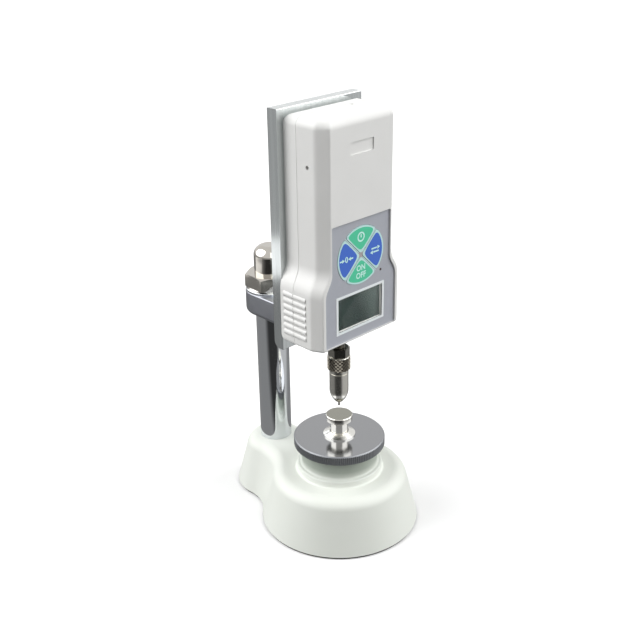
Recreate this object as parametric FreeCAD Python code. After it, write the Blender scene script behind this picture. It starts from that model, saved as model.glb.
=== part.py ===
import FreeCAD, Part
import math
import os

# Grain hardness meter: a hand-raised anvil on a cast base crushes one kernel against
# the plunger of a digital force gauge, which a column, an arm and a plate hold up.
# Millimetres. Z is up, the front faces -Y, and the origin is on the floor, on the
# axis that the lifting screw, the anvil and the plunger share.

V = FreeCAD.Vector
os.makedirs("parts", exist_ok=True)

# Clearances
running_gap = 0.05          # radial and axial gap of parts that turn or slide on each other
slip_gap = 0.1              # gap of parts that are put together by hand
travel_gap = 0.3            # gap kept round a moving part that nothing guides
key_gap = 0.2               # gap round each key cap in the case and the overlay
bite = 1.0                  # how far a tool or a joined form reaches past the face it works on

# Base casting
column_offset = 67.0        # from the spindle axis back to the column axis
sole_thickness = 1.5
sole_inset = 0.8
base_front_radius = 56.0
base_rear_radius = 30.0
base_waist_radius = 30.0
base_height = 38.5
base_draft = 10.0           # how far the wall leans in over the height
base_edge_radius = 9.0
base_wall = 6.0
base_top_wall = 7.0
rib_thickness = 5.0
rib_recess = 4.5            # from the rim up to the foot of ribs and bosses
step_radius = 30.2
step_height = 5.5
boss_radius = 27.0
boss_height = 13.1
boss_blend = 1.5

# Handwheel, its nut and the lifting screw
thrust_radius = 22.0
thrust_thickness = 0.75
wheel_radius = 32.0
wheel_thickness = 6.9
wheel_chamfer = 0.8
wheel_flutes = 144
wheel_flute_depth = 0.3
collar_radius = 11.2        # of the nut's collar on the wheel
collar_edge = 1.0           # height of the collar's upright edge
collar_height = 3.3
collar_land = 0.6           # width of the ring left flat on top, round the stem
hub_radius = 9.0
bush_wall = 3.0
bush_length = 18.0
chamber_depth = 14.0        # room under the bush for the retaining ring
ring_thickness = 1.4
ring_width = 2.2
ring_gap = 0.2
screw_radius = 6.0
spindle_boss_wall = 5.0
lift_up = 5.5
lift_down = 5.0
lift_spare = 1.0
key_radius = 1.5
key_height = 11.0           # of the key pin above the foot of the spindle boss
keyway_depth = 1.5

# Anvil
anvil_radius = 9.3
anvil_head = 4.7
anvil_gap = 8.0             # from the nut's collar up to the head, at rest
stem_radius = 6.3
stem_socket = 7.6           # how far the stem reaches into the nut, at rest
spigot_radius = 3.0
spigot_length = 7.0

# Plunger and lock nut, from the tip up
test_gap = 6.7              # from the anvil up to the plunger's tip, at rest
tip_radius = 0.8
tip_length = 3.0
nose_radius = 2.2
nose_length = 11.0
barrel_radius = 6.6
barrel_length = 14.7
groove_below_grip = 2.1
groove_width = 0.5
groove_depth = 0.35
grip_radius = 7.6
grip_length = 10.3
lock_flats = 13.0
lock_height = 6.5
lock_turn = 21.0
rod_radius = 4.0
rod_in_plunger = 14.0
rod_in_cell = 8.0
neck = 13.7                 # from the lock nut up to the gauge's case

# Gauge case, front to back and bottom to top
axis_to_front = 21.1
case_depth = 35.9
case_height = 148.4
narrow_front = 28.0         # half widths of the upper part
narrow_side = 33.2
narrow_back = 31.9
wide_front = 35.0           # half widths of the lower part
wide_side = 38.7
wide_back = 38.2
case_bevel = 7.8            # depth of the slanted band beside the front face
flare_start = 40.8          # height of the wide part above the case's bottom
flare_height = 10.0
flare_bend = 16.0           # radius of the soft bends above and below the flare
case_edge_radius = 6.0
case_foot_radius = 2.0
case_heel_radius = 4.5      # along the case's lowest edge at the back
front_edge_radius = 1.6     # along the front face's upright edges
side_edge_radius = 5.0      # where the slanted bands meet the sides
case_wall = 2.2
seam_depth = 23.3           # from the front face back to the seam
seam_width = 0.35
lip_thickness = 1.1
lip_height = 1.6
grip_ribs = 7
grip_pitch = 4.45
grip_first = 7.3            # from the case's bottom up to the lowest rib
grip_rib_radius = 2.4
grip_rib_proud = 0.7
grip_front = 12.1           # from the front face back to the ribs' ends
grip_length_back = 20.3
blank_width = 20.6
blank_height = 7.9
blank_depth = 0.8
blank_below_top = 16.2      # from the case's top down to the blank plate's upper edge
blank_corner = 0.8
vent_radius = 1.2
vent_side = 13.2
vent_back = 21.4
vent_depth = 1.2

# Panel overlay, keys and display
panel_rim_narrow = 1.2
panel_rim_wide = 2.4
panel_rim_foot = 1.3
panel_drop = 2.0            # of the overlay's flare below the case's
panel_height = 81.0
panel_sink = 1.2            # from the case's front face back to the overlay
panel_thickness = 0.8
panel_wall = 2.0
panel_corner = 1.0
panel_bend = 12.0           # of the overlay's outline beside the flare
key_rise = 57.7             # from the case's bottom up to the centre of the keys
key_half_width = 21.0
key_half_height = 19.4
key_split = 0.9
key_corner = 1.8
key_proud = 0.3
key_travel = 0.4
key_flange_radius = 6.5
key_flange = 1.0
key_stem_radius = 2.0
key_reach = 11.5            # from the centre of the keys out to each stem
frame_width = 44.6
frame_height = 26.3
frame_proud = 0.2
window_width = 41.0
window_height = 22.9
window_sink = 0.1
display_rise = 20.8
display_border = 3.0        # of the display cell beside its window
display_margin = 1.0        # of the display cell above and below its window
pin_row = 2.0
led_side = 19.0
led_rise = 42.4
led_radius = 0.9
led_body_radius = 1.5

# Inside the case
board_depth = 9.6           # from the case's front face back to the board
board_thickness = 1.6
board_half_width = 26.5
board_corner = 1.5
board_foot = 4.7
board_below_top = 11.7
post_radius = 2.6
post_side = 23.6
post_low = 39.3
post_below_top = 15.4
board_screw_radius = 1.1
board_screw_head = 2.3
board_screw_head_height = 1.5
board_screw_bite = 5.0
switch_size = 6.0
switch_height = 1.8
switch_button = 0.6
jack_below_top = 29.6
jack_back = 14.2            # from the front face back to the jack's axis
jack_bore_radius = 1.25
jack_bore_depth = 9.0
jack_length = 11.0
jack_size = 6.2
cell_size = 46.0
cell_half_width = 17.0
cell_half_depth = 6.0
cell_lift = 9.5             # from the case's inner floor up to the load cell
cell_slot = 2.5
cell_hole_radius = 5.0
cell_arm = 11.0
bracket_thickness = 2.5
bracket_half_width = 20.0
bracket_drop = 42.0
cell_screw_radius = 3.0
cell_screw_bite = 7.0
cell_screw_head_radius = 5.0
cell_screw_head_height = 5.0
battery_radius = 7.1
battery_clear = 6.0         # from the pack up to the bosses of the upper gauge screws
battery_count = 4
battery_shelf = 71.0        # from the case's bottom up to the shelf's top
shelf_thickness = 2.0
shelf_depth = 13.0
seal_radius = 7.5
seal_flange = 1.5
seal_flange_height = 1.0
seal_gap = 0.4
case_screw_radius = 1.5
case_screw_head_radius = 2.8
case_screw_head_height = 2.0
case_screw_bite = 9.0
case_boss_radius = 3.6
case_screw_side_high = 25.5
case_screw_below_top = 6.8
case_screw_side_low = 31.4
case_screw_low = 8.0

# Plate, arm and column
plate_half_width = 37.1
plate_thickness = 8.4
plate_above = 2.9           # of the plate above the case
plate_below = 8.5
plate_corner = 5.0
plate_edge = 0.5
arm_rise = 2.3              # from the plate's lower end up to the arm
arm_thickness = 16.8
arm_half_width = 18.2
arm_foot_radius = 3.2
arm_edge_radius = 1.0
column_radius = 11.6
column_socket = 24.0
column_boss_radius = 19.0
socket_floor = 4.0
stud_radius = 9.0
stud_above = 16.0           # of the stud above the nut's washer
nut_washer_radius = 18.0
nut_washer_thickness = 1.6
acorn_flats = 32.0
acorn_hex_height = 10.6
acorn_turn = 25.7
acorn_dome_radius = 11.6
acorn_dome_edge = 7.0
acorn_height = 30.4
acorn_wall = 4.0
foot_bolt_radius = 5.0
foot_bolt_flats = 17.0
foot_bolt_head = 6.4
foot_bolt_bite = 18.0
foot_washer_radius = 10.0
foot_washer_thickness = 1.5
gauge_screw_radius = 2.0
gauge_screw_head_radius = 3.5
gauge_screw_head_height = 4.0
gauge_screw_bite = 6.5
gauge_screw_side_high = 22.0
gauge_screw_below_top = 16.9
gauge_screw_side_low = 15.0
gauge_screw_low = 32.0
gauge_boss_radius = 4.5
arm_screw_radius = 3.0
arm_screw_head_radius = 6.0
arm_screw_length = 24.0
arm_screw_side = 10.0
hex_key_ratio = 0.5         # of a socket screw's key to its head
hex_key_depth = 0.5         # of the key's socket to the head's height
hex_chamfer = 0.5           # of the corner left above a nut's flats

# Heights worked out from the sizes above
base_top = sole_thickness + base_height
step_top = base_top + step_height
boss_top = step_top + boss_height
thrust_top = boss_top + thrust_thickness
wheel_bottom = thrust_top + running_gap
wheel_top = wheel_bottom + wheel_thickness
nut_top = wheel_top + collar_height
anvil_head_bottom = nut_top + anvil_gap
anvil_top = anvil_head_bottom + anvil_head
plunger_tip = anvil_top + test_gap
nose_bottom = plunger_tip + tip_length
barrel_bottom = nose_bottom + nose_length
grip_bottom = barrel_bottom + barrel_length
plunger_top = grip_bottom + grip_length
lock_top = plunger_top + lock_height
case_bottom = lock_top + neck
case_top = case_bottom + case_height
flare_bottom = case_bottom + flare_start
flare_top = flare_bottom + flare_height
plate_bottom = case_bottom - plate_below
plate_top = case_top + plate_above
arm_bottom = plate_bottom + arm_rise
arm_top = arm_bottom + arm_thickness
washer_top = arm_top + nut_washer_thickness

# Places worked out from the sizes above, along Y
case_front = -axis_to_front
case_back = case_front + case_depth
bevel_back = case_front + case_bevel
seam = case_front + seam_depth
plate_back = case_back + plate_thickness
overlay_front = case_front + panel_sink
pocket_floor = overlay_front + panel_thickness
panel_inside = pocket_floor + panel_wall
board_front = case_front + board_depth
board_back = board_front + board_thickness
back_inside = case_back - case_wall


def rounded_outline(corners, place):
    """A closed wire through (a, b) or (a, b, radius) corners, which place() puts in space."""
    count = len(corners)
    starts = []
    arcs = []
    for i in range(count):
        here = V(corners[i][0], corners[i][1], 0)
        before = corners[i - 1]
        after = corners[(i + 1) % count]
        radius = corners[i][2] if len(corners[i]) > 2 else 0
        if radius == 0:
            starts.append((here, here))
            arcs.append(None)
            continue
        back = (V(before[0], before[1], 0) - here).normalize()
        on = (V(after[0], after[1], 0) - here).normalize()
        half = back.getAngle(on) / 2
        reach = radius / math.tan(half)
        inward = (back + on).normalize()
        middle = here + inward * (radius / math.sin(half) - radius)
        starts.append((here + back * reach, here + on * reach))
        arcs.append(middle)
    edges = []
    for i in range(count):
        first, last = starts[i]
        if arcs[i] is not None:
            edges.append(Part.Arc(place(first), place(arcs[i]), place(last)).toShape())
        following = starts[(i + 1) % count][0]
        if (following - last).Length > 1e-6:
            edges.append(Part.LineSegment(place(last), place(following)).toShape())
    return Part.Wire(edges)


def turned(corners, x=0, y=0):
    """A solid of revolution about a vertical axis, from (radius, height) corners."""
    wire = rounded_outline(corners, lambda p: V(p.x, 0, p.y))
    solid = Part.Face(wire).revolve(V(0, 0, 0), V(0, 0, 1), 360)
    solid.translate(V(x, y, 0))
    return solid


def slab(corners, bottom, height):
    """A plate with a rounded outline seen from above."""
    wire = rounded_outline(corners, lambda p: V(p.x, p.y, bottom))
    return Part.Face(wire).extrude(V(0, 0, height))


def panel(corners, front, depth):
    """A plate with a rounded outline seen from the front, in X and Z."""
    wire = rounded_outline(corners, lambda p: V(p.x, front, p.y))
    return Part.Face(wire).extrude(V(0, depth, 0))


def profile_along_x(corners, left, width):
    """A bar with a rounded section in Y and Z."""
    wire = rounded_outline(corners, lambda p: V(left, p.x, p.y))
    return Part.Face(wire).extrude(V(width, 0, 0))


def rectangle(half_width, low, high, radius=0):
    """Corners of a rectangle centred on X = 0."""
    return [(-half_width, low, radius), (half_width, low, radius),
            (half_width, high, radius), (-half_width, high, radius)]


def box(low, high):
    """A block between two corners."""
    low = V(*low)
    size = V(*high) - low
    return Part.makeBox(size.x, size.y, size.z, low)


def rod_z(radius, bottom, top, x=0, y=0):
    """An upright cylinder between two heights."""
    return Part.makeCylinder(radius, top - bottom, V(x, y, bottom))


def rod_y(radius, front, back, x=0, z=0):
    """A cylinder that runs from front to back."""
    return Part.makeCylinder(radius, back - front, V(x, front, z), V(0, 1, 0))


def rod_x(radius, left, right, y=0, z=0):
    """A cylinder that runs from left to right."""
    return Part.makeCylinder(radius, right - left, V(left, y, z), V(1, 0, 0))


def hex_prism(flats, bottom, height, turn=0, x=0, y=0):
    """An upright hexagonal bar; turn is the angle of one corner from +X."""
    corner = flats / math.sqrt(3)
    points = [(corner * math.cos(math.radians(turn + 60 * k)),
               corner * math.sin(math.radians(turn + 60 * k))) for k in range(6)]
    prism = slab(points, bottom, height)
    prism.translate(V(x, y, 0))
    return prism


def hex_nut(flats, bottom, height, turn=0, x=0, y=0):
    """A hexagon whose corners are turned off above and below."""
    corner = flats / math.sqrt(3)
    drop = (corner - flats / 2) * hex_chamfer
    outline = [(0, bottom), (flats / 2, bottom), (corner, bottom + drop),
               (corner, bottom + height - drop), (flats / 2, bottom + height), (0, bottom + height)]
    return hex_prism(flats, bottom, height, turn, x, y).common(turned(outline, x, y))


def fuse_all(first, others):
    """One solid from a solid and what is joined to it."""
    joined = first
    for other in others:
        joined = joined.fuse(other)
    return joined.removeSplitter()


def cut_all(body, tools):
    """A solid with each tool cut from it."""
    for tool in tools:
        body = body.cut(tool)
    return body


def flat_edges(shape, level):
    """The edges that lie flat at one height."""
    return [e for e in shape.Edges
            if abs(e.BoundBox.ZMin - level) < 1e-6 and abs(e.BoundBox.ZMax - level) < 1e-6]


def mirrored_x(sides, heights):
    """Each (x, z) place and its mirror image in X."""
    return [(sign * side, height) for side, height in zip(sides, heights) for sign in (-1, 1)]


def export(name, shape):
    """Write one sub-part, and stop if its solids aren't sound."""
    solids = shape.Solids
    assert solids and shape.isValid(), name + " is not a sound solid"
    kept = solids[0] if len(solids) == 1 else Part.makeCompound(solids)
    kept.exportStep("parts/" + name + ".step")
    print(name, len(solids), "solid(s)", round(sum(s.Volume for s in solids)), "mm3")


# Base: a pear-shaped drafted casting with a stepped boss, hollow and ribbed beneath

def pear(inset, z):
    """The base's outline at one height: two lobes joined by hollow waists, drawn in by inset."""
    front = base_front_radius - inset
    rear = base_rear_radius - inset
    waist = base_waist_radius + inset
    to_front = base_front_radius + base_waist_radius
    to_rear = base_rear_radius + base_waist_radius
    centre_y = (to_front ** 2 - to_rear ** 2 + column_offset ** 2) / (2 * column_offset)
    centre_x = math.sqrt(to_front ** 2 - centre_y ** 2)
    column = V(0, column_offset, z)
    edges = []
    joins = {}
    for side in (-1, 1):
        centre = V(side * centre_x, centre_y, z)
        low = V(0, 0, z) + (centre - V(0, 0, z)) * (front / to_front)
        high = column + (centre - column) * (rear / to_rear)
        inward = ((low - centre).normalize() + (high - centre).normalize()).normalize()
        edges.append(Part.Arc(low, centre + inward * waist, high).toShape())
        joins[side] = (low, high)
    edges.append(Part.Arc(joins[-1][0], V(0, -front, z), joins[1][0]).toShape())
    edges.append(Part.Arc(joins[-1][1], V(0, column_offset + rear, z), joins[1][1]).toShape())
    return Part.Wire(Part.__sortEdges__(edges))


def draft_at(z):
    """How far the base's wall has leant in at a height."""
    return base_draft * (z - sole_thickness) / base_height


spindle_boss_foot = sole_thickness + rib_recess
bush_radius = hub_radius + bush_wall
bush_bottom = boss_top - bush_length
chamber_radius = bush_radius - slip_gap
chamber_bottom = bush_bottom - chamber_depth
spindle_boss_radius = bush_radius + spindle_boss_wall
socket_bottom = base_top - column_socket
column_boss_foot = socket_bottom - socket_floor


def base_casting():
    low = sole_thickness
    body = Part.makeLoft([pear(0, low), pear(base_draft, base_top)], True, True)
    body = body.makeFillet(base_edge_radius, flat_edges(body, base_top))
    roof = base_top - base_top_wall
    hollow = Part.makeLoft([pear(base_wall, low), pear(base_wall + draft_at(roof), roof)], True, True)
    reach = base_front_radius + base_rear_radius + column_offset
    ribs = [box((-reach, -rib_thickness / 2, spindle_boss_foot), (reach, rib_thickness / 2, roof)),
            box((-rib_thickness / 2, -reach, spindle_boss_foot), (rib_thickness / 2, reach, roof)),
            rod_z(spindle_boss_radius, spindle_boss_foot, roof),
            rod_z(column_boss_radius, column_boss_foot, roof, 0, column_offset)]
    well = rod_z(column_boss_radius, low, column_boss_foot, 0, column_offset)
    ribs = [rib.cut(well) for rib in ribs]
    body = body.cut(cut_all(hollow, ribs))
    boss = turned([(0, base_top - bite), (step_radius + boss_blend, base_top - bite),
                   (step_radius + boss_blend, base_top), (step_radius, base_top, boss_blend),
                   (step_radius, step_top, boss_blend), (boss_radius, step_top, boss_blend),
                   (boss_radius, boss_top, boss_blend / 2), (0, boss_top)])
    body = body.fuse(boss)
    bores = [rod_z(bush_radius, bush_bottom, boss_top),
             rod_z(chamber_radius, chamber_bottom, bush_bottom),
             rod_z(screw_radius + running_gap, 0, chamber_bottom),
             rod_z(column_radius + slip_gap / 2, socket_bottom, base_top, 0, column_offset),
             rod_z(foot_bolt_radius + slip_gap, 0, socket_bottom, 0, column_offset),
             rod_x(key_radius, -spindle_boss_radius, 0, 0, spindle_boss_foot + key_height)]
    return cut_all(body, bores).removeSplitter()


def sole_mat():
    return Part.Face(pear(sole_inset, 0)).extrude(V(0, 0, sole_thickness))


export("base_casting", base_casting())
export("sole_mat", sole_mat())

# Lifting gear: the wheel and its nut turn on a bush, and the keyed screw rises

hub_bottom = bush_bottom - ring_gap - ring_thickness - ring_width
stem_bottom = nut_top - stem_socket
socket_in_nut = stem_bottom - lift_down - travel_gap
spindle_bottom = sole_thickness + lift_spare + lift_down


def bearing_bush():
    return turned([(hub_radius + running_gap, bush_bottom), (bush_radius, bush_bottom),
                   (bush_radius, boss_top), (hub_radius + running_gap, boss_top)])


def thrust_washer():
    return turned([(hub_radius + slip_gap, boss_top), (thrust_radius, boss_top),
                   (thrust_radius, thrust_top), (hub_radius + slip_gap, thrust_top)])


def handwheel():
    disc = turned([(hub_radius, wheel_bottom), (wheel_radius, wheel_bottom, 0),
                   (wheel_radius, wheel_top, 0), (hub_radius, wheel_top)])
    teeth = []
    for k in range(wheel_flutes):
        for part, radius in ((0.0, wheel_radius), (0.3, wheel_radius),
                             (0.65, wheel_radius - wheel_flute_depth)):
            angle = 2 * math.pi * (k + part) / wheel_flutes
            teeth.append((radius * math.cos(angle), radius * math.sin(angle)))
    knurled = slab(teeth, wheel_bottom, wheel_thickness)
    c = wheel_chamfer
    rim = turned([(0, wheel_bottom), (wheel_radius - c, wheel_bottom), (wheel_radius, wheel_bottom + c),
                  (wheel_radius, wheel_top - c), (wheel_radius - c, wheel_top), (0, wheel_top)])
    return disc.common(knurled).common(rim)


def lead_nut():
    """The nut that the wheel turns: a hub below, and a conical collar that clamps the wheel."""
    body = turned([(0, hub_bottom), (hub_radius, hub_bottom), (hub_radius, wheel_top),
                   (collar_radius, wheel_top), (collar_radius, wheel_top + collar_edge),
                   (stem_radius + travel_gap + collar_land, nut_top), (0, nut_top)])
    groove_bottom = bush_bottom - ring_gap - ring_thickness
    groove = turned([(hub_radius - ring_width / 2, groove_bottom), (hub_radius + bite, groove_bottom),
                     (hub_radius + bite, groove_bottom + ring_thickness),
                     (hub_radius - ring_width / 2, groove_bottom + ring_thickness)])
    bores = [rod_z(screw_radius + running_gap, hub_bottom, nut_top),
             rod_z(stem_radius + travel_gap, socket_in_nut, nut_top), groove]
    return cut_all(body, bores)


def retaining_ring():
    inner = hub_radius - ring_width / 2
    bottom = bush_bottom - ring_gap - ring_thickness
    ring = turned([(inner, bottom), (inner + ring_width, bottom),
                   (inner + ring_width, bottom + ring_thickness), (inner, bottom + ring_thickness)])
    opening = box((0, -ring_width, bottom), (hub_radius * 2, ring_width, bottom + ring_thickness))
    return ring.cut(opening)


def spindle_screw():
    body = turned([(0, spindle_bottom), (screw_radius - 0.8, spindle_bottom),
                   (screw_radius, spindle_bottom + 0.8), (screw_radius, stem_bottom), (0, stem_bottom)])
    key_z = spindle_boss_foot + key_height
    keyway = box((-2 * screw_radius, -key_radius - running_gap, key_z - key_radius - lift_up - lift_spare),
                 (-screw_radius + keyway_depth, key_radius + running_gap,
                  key_z + key_radius + lift_down + lift_spare))
    socket = rod_z(spigot_radius, stem_bottom - spigot_length, stem_bottom)
    return body.cut(keyway).cut(socket)


def anvil():
    edge = 0.4
    return turned([(0, stem_bottom - spigot_length), (spigot_radius, stem_bottom - spigot_length),
                   (spigot_radius, stem_bottom), (stem_radius, stem_bottom),
                   (stem_radius, anvil_head_bottom), (anvil_radius - 2 * edge, anvil_head_bottom),
                   (anvil_radius, anvil_head_bottom + 2 * edge), (anvil_radius, anvil_top - edge),
                   (anvil_radius - edge, anvil_top), (0, anvil_top)])


def key_pin():
    tip = -screw_radius + keyway_depth - travel_gap
    return rod_x(key_radius, -spindle_boss_radius, tip, 0, spindle_boss_foot + key_height)


export("bearing_bush", bearing_bush())
export("thrust_washer", thrust_washer())
export("handwheel", handwheel())
export("lead_nut", lead_nut())
export("retaining_ring", retaining_ring())
export("spindle_screw", spindle_screw())
export("anvil", anvil())
export("key_pin", key_pin())

# Column, arm and plate

def column():
    stud_top = washer_top + stud_above
    body = turned([(0, socket_bottom), (column_radius - 1, socket_bottom),
                   (column_radius, socket_bottom + 1), (column_radius, arm_bottom),
                   (stud_radius, arm_bottom), (stud_radius, stud_top - 1),
                   (stud_radius - 1, stud_top), (0, stud_top)], 0, column_offset)
    return body.cut(rod_z(foot_bolt_radius, 0, socket_bottom + foot_bolt_bite, 0, column_offset))


def foot_washer():
    top = column_boss_foot
    return turned([(foot_bolt_radius + slip_gap, top - foot_washer_thickness),
                   (foot_washer_radius, top - foot_washer_thickness), (foot_washer_radius, top),
                   (foot_bolt_radius + slip_gap, top)], 0, column_offset)


def column_bolt():
    seat = column_boss_foot - foot_washer_thickness
    head = hex_nut(foot_bolt_flats, seat - foot_bolt_head, foot_bolt_head, 0, 0, column_offset)
    shank = rod_z(foot_bolt_radius, seat, socket_bottom + foot_bolt_bite, 0, column_offset)
    return head.fuse(shank)


def bracket_arm():
    block = box((-arm_half_width, plate_back, arm_bottom), (arm_half_width, column_offset, arm_top))
    end = rod_z(arm_half_width, arm_bottom, arm_top, 0, column_offset)
    body = fuse_all(block, [end])
    for level, radius in ((arm_bottom, arm_foot_radius), (arm_top, arm_edge_radius)):
        around = [e for e in flat_edges(body, level) if e.BoundBox.YMax > plate_back + bite]
        body = body.makeFillet(radius, around)
    body = body.cut(rod_z(stud_radius + slip_gap, arm_bottom, arm_top, 0, column_offset))
    middle = (arm_bottom + arm_top) / 2
    for side in (-arm_screw_side, arm_screw_side):
        body = body.cut(rod_y(arm_screw_radius, plate_back, case_back + arm_screw_length, side, middle))
    return body


def nut_washer():
    return turned([(stud_radius + slip_gap, arm_top), (nut_washer_radius, arm_top),
                   (nut_washer_radius, washer_top, 0.3), (stud_radius + slip_gap, washer_top)],
                  0, column_offset)


def acorn_nut():
    hexagon = hex_nut(acorn_flats, washer_top, acorn_hex_height, acorn_turn, 0, column_offset)
    top = washer_top + acorn_height
    dome = turned([(0, washer_top), (acorn_dome_radius, washer_top),
                   (acorn_dome_radius, top, acorn_dome_edge), (0, top)], 0, column_offset)
    thread = rod_z(stud_radius, washer_top, top - acorn_wall - 4, 0, column_offset)
    return hexagon.fuse(dome).cut(thread)


upper_gauge_screws = mirrored_x([gauge_screw_side_high], [case_top - gauge_screw_below_top])
lower_gauge_screws = mirrored_x([gauge_screw_side_low], [case_bottom + gauge_screw_low])
arm_screw_places = mirrored_x([arm_screw_side], [(arm_bottom + arm_top) / 2])
countersink_depth = arm_screw_head_radius - arm_screw_radius


def countersink(grow, x, z):
    """The cone of a countersunk head in the plate's front face."""
    return Part.makeCone(arm_screw_head_radius + grow, arm_screw_radius + grow, countersink_depth,
                         V(x, case_back, z), V(0, 1, 0))


def mount_plate():
    body = profile_along_x([(case_back, plate_bottom, plate_edge), (plate_back, plate_bottom, plate_corner),
                            (plate_back, plate_top, plate_edge), (case_back, plate_top, plate_edge)],
                           -plate_half_width, 2 * plate_half_width)
    for x, z in upper_gauge_screws + lower_gauge_screws:
        body = body.cut(rod_y(gauge_screw_radius + slip_gap, case_back, plate_back, x, z))
        body = body.cut(rod_y(gauge_screw_head_radius + slip_gap, plate_back - gauge_screw_head_height,
                              plate_back, x, z))
    for x, z in arm_screw_places:
        body = body.cut(rod_y(arm_screw_radius + slip_gap, case_back, plate_back, x, z))
        body = body.cut(countersink(0, x, z))
    return body


def hex_socket(head_radius, head_height, face, depth_sign, x, z):
    """The key socket of a screw head whose face is at Y = face."""
    flats = head_radius * 2 * hex_key_ratio
    depth = head_height * hex_key_depth
    corner = flats / math.sqrt(3)
    points = [(x + corner * math.cos(math.radians(60 * k)), z + corner * math.sin(math.radians(60 * k)))
              for k in range(6)]
    start = face if depth_sign > 0 else face - depth
    return panel(points, start, depth)


def gauge_screws():
    screws = []
    for x, z in upper_gauge_screws + lower_gauge_screws:
        seat = plate_back - gauge_screw_head_height
        head = rod_y(gauge_screw_head_radius, seat, plate_back, x, z)
        shank = rod_y(gauge_screw_radius, case_back - gauge_screw_bite, seat, x, z)
        socket = hex_socket(gauge_screw_head_radius, gauge_screw_head_height, plate_back, -1, x, z)
        screws.append(head.fuse(shank).cut(socket))
    return Part.makeCompound(screws)


def arm_screws():
    screws = []
    for x, z in arm_screw_places:
        head = countersink(0, x, z)
        shank = rod_y(arm_screw_radius, case_back, case_back + arm_screw_length, x, z)
        socket = hex_socket(arm_screw_radius, countersink_depth * 2, case_back, 1, x, z)
        screws.append(head.fuse(shank).cut(socket))
    return Part.makeCompound(screws)


export("column", column())
export("foot_washer", foot_washer())
export("column_bolt", column_bolt())
export("bracket_arm", bracket_arm())
export("nut_washer", nut_washer())
export("acorn_nut", acorn_nut())
export("mount_plate", mount_plate())
export("gauge_screws", gauge_screws())
export("arm_screws", arm_screws())

# Force path: plunger, lock nut, rod and load cell

cell_bottom = case_bottom + case_wall + cell_lift
cell_top = cell_bottom + cell_size


def plunger():
    edge = 0.8
    ogive_r = nose_radius + (barrel_radius - nose_radius) * 0.72
    ogive_z = nose_bottom + nose_length * 0.45
    lower = Part.Arc(V(nose_radius, 0, nose_bottom + 0.6), V(ogive_r, 0, ogive_z),
                     V(barrel_radius, 0, barrel_bottom)).toShape()
    groove_top = grip_bottom - groove_below_grip
    groove_radius = barrel_radius - groove_depth
    points = [(barrel_radius, barrel_bottom), (barrel_radius, groove_top - groove_width),
              (groove_radius, groove_top - groove_width), (groove_radius, groove_top),
              (barrel_radius, groove_top), (barrel_radius, grip_bottom), (grip_radius - edge, grip_bottom),
              (grip_radius, grip_bottom + edge), (grip_radius, plunger_top - edge / 2),
              (grip_radius - edge / 2, plunger_top), (rod_radius, plunger_top),
              (rod_radius, plunger_top - rod_in_plunger), (0, plunger_top - rod_in_plunger),
              (0, plunger_tip), (tip_radius / 2, plunger_tip), (tip_radius, plunger_tip + tip_radius / 2),
              (tip_radius, nose_bottom), (nose_radius, nose_bottom + 0.6)]
    edges = [lower]
    for first, last in zip(points, points[1:]):
        edges.append(Part.LineSegment(V(first[0], 0, first[1]), V(last[0], 0, last[1])).toShape())
    return Part.Face(Part.Wire(Part.__sortEdges__(edges))).revolve(V(0, 0, 0), V(0, 0, 1), 360)


def lock_nut():
    return hex_nut(lock_flats, plunger_top, lock_height, lock_turn).cut(
        rod_z(rod_radius, plunger_top, lock_top))


def load_rod():
    return rod_z(rod_radius, plunger_top - rod_in_plunger, cell_bottom + rod_in_cell)


def load_cell():
    """An S-shaped beam: two slots from opposite sides leave two bending arms."""
    w = cell_half_width
    d = cell_half_depth
    body = box((-w, -d, cell_bottom), (w, d, cell_top))
    low = cell_bottom + cell_arm
    high = cell_top - cell_arm
    slots = [box((-w, -d, low), (w - cell_arm / 2, d, low + cell_slot)),
             box((-w + cell_arm / 2, -d, high - cell_slot), (w, d, high)),
             rod_y(cell_hole_radius, -d, d, 0, (cell_bottom + cell_top) / 2),
             rod_z(rod_radius, cell_bottom, cell_bottom + rod_in_cell),
             rod_z(cell_screw_radius, cell_top - cell_screw_bite, cell_top)]
    return cut_all(body, slots)


def cell_bracket():
    """A folded steel angle that ties the load cell's top to the case's back."""
    t = bracket_thickness
    top = cell_top + t
    body = profile_along_x([(-cell_half_depth, cell_top), (back_inside - t, cell_top, 0.6 * t),
                            (back_inside - t, top - bracket_drop), (back_inside, top - bracket_drop),
                            (back_inside, top, 1.6 * t), (-cell_half_depth, top)],
                           -bracket_half_width, 2 * bracket_half_width)
    body = body.cut(rod_z(cell_screw_radius + slip_gap, cell_top, top))
    for x, z in lower_gauge_screws:
        body = body.cut(rod_y(gauge_screw_radius, back_inside - t, back_inside, x, z))
    return body


def cell_screw():
    seat = cell_top + bracket_thickness
    head = rod_z(cell_screw_head_radius, seat, seat + cell_screw_head_height)
    shank = rod_z(cell_screw_radius, cell_top - cell_screw_bite, seat)
    key_foot = seat + cell_screw_head_height * hex_key_depth
    key = hex_prism(cell_screw_head_radius * 2 * hex_key_ratio, key_foot, cell_screw_head_height)
    return head.fuse(shank).cut(key)


def rod_seal():
    inner = rod_radius + seal_gap
    outer = seal_radius + seal_flange
    floor = case_bottom + case_wall
    h = seal_flange_height
    return turned([(inner, case_bottom - h), (outer, case_bottom - h, 0.3), (outer, case_bottom),
                   (seal_radius, case_bottom), (seal_radius, floor), (outer, floor), (outer, floor + h, 0.3),
                   (inner, floor + h)])


export("plunger", plunger())
export("lock_nut", lock_nut())
export("load_rod", load_rod())
export("load_cell", load_cell())
export("cell_bracket", cell_bracket())
export("cell_screw", cell_screw())
export("rod_seal", rod_seal())

# Gauge case: two moulded shells

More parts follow.
